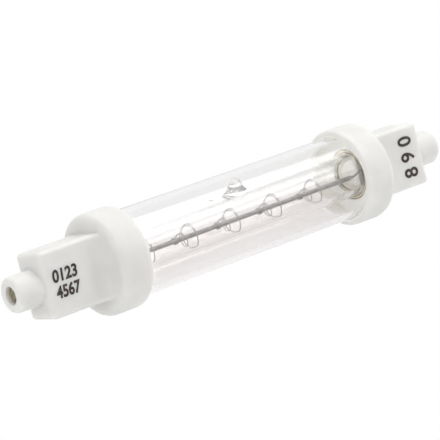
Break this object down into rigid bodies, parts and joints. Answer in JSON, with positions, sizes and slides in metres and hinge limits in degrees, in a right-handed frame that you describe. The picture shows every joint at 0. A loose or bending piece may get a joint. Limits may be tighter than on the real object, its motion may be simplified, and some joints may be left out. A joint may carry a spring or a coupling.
{
  "type": "double-ended infrared quartz heat lamp",
  "caption": "Jacketed infrared quartz heat lamp with a clear tube, inner bulb and filament between two white ceramic end caps with recessed contacts.",
  "frame": {"origin": "centre of the lamp, on the axis of its jacket tube", "axes": "+X along the lamp towards the right end cap, +Z the tall way of the end blocks, -Y the marked faces"},
  "size_m": [0.118, 0.022, 0.022],
  "materials": {
    "quartz": "clear polished",
    "ceramic": "satin",
    "contact_metal": "dull",
    "tungsten": "dull",
    "molybdenum": "satin",
    "cement": "matte",
    "ink": "stamped, matte"
  },
  "bodies": {
    "root": {"jacket_tube": "quartz", "left_end_cap": "ceramic", "right_end_cap": "ceramic", "left_contact": "contact_metal", "right_contact": "contact_metal", "quartz_bulb": "quartz", "filament_coil": "tungsten", "filament_support_1": "tungsten", "filament_support_2": "tungsten", "filament_support_3": "tungsten", "filament_support_4": "tungsten", "filament_support_5": "tungsten", "left_inner_lead": "tungsten", "right_inner_lead": "tungsten", "left_foil": "molybdenum", "right_foil": "molybdenum", "left_outer_lead": "molybdenum", "right_outer_lead": "molybdenum", "left_cement": "cement", "right_cement": "cement"}
  },
  "joints": []
}
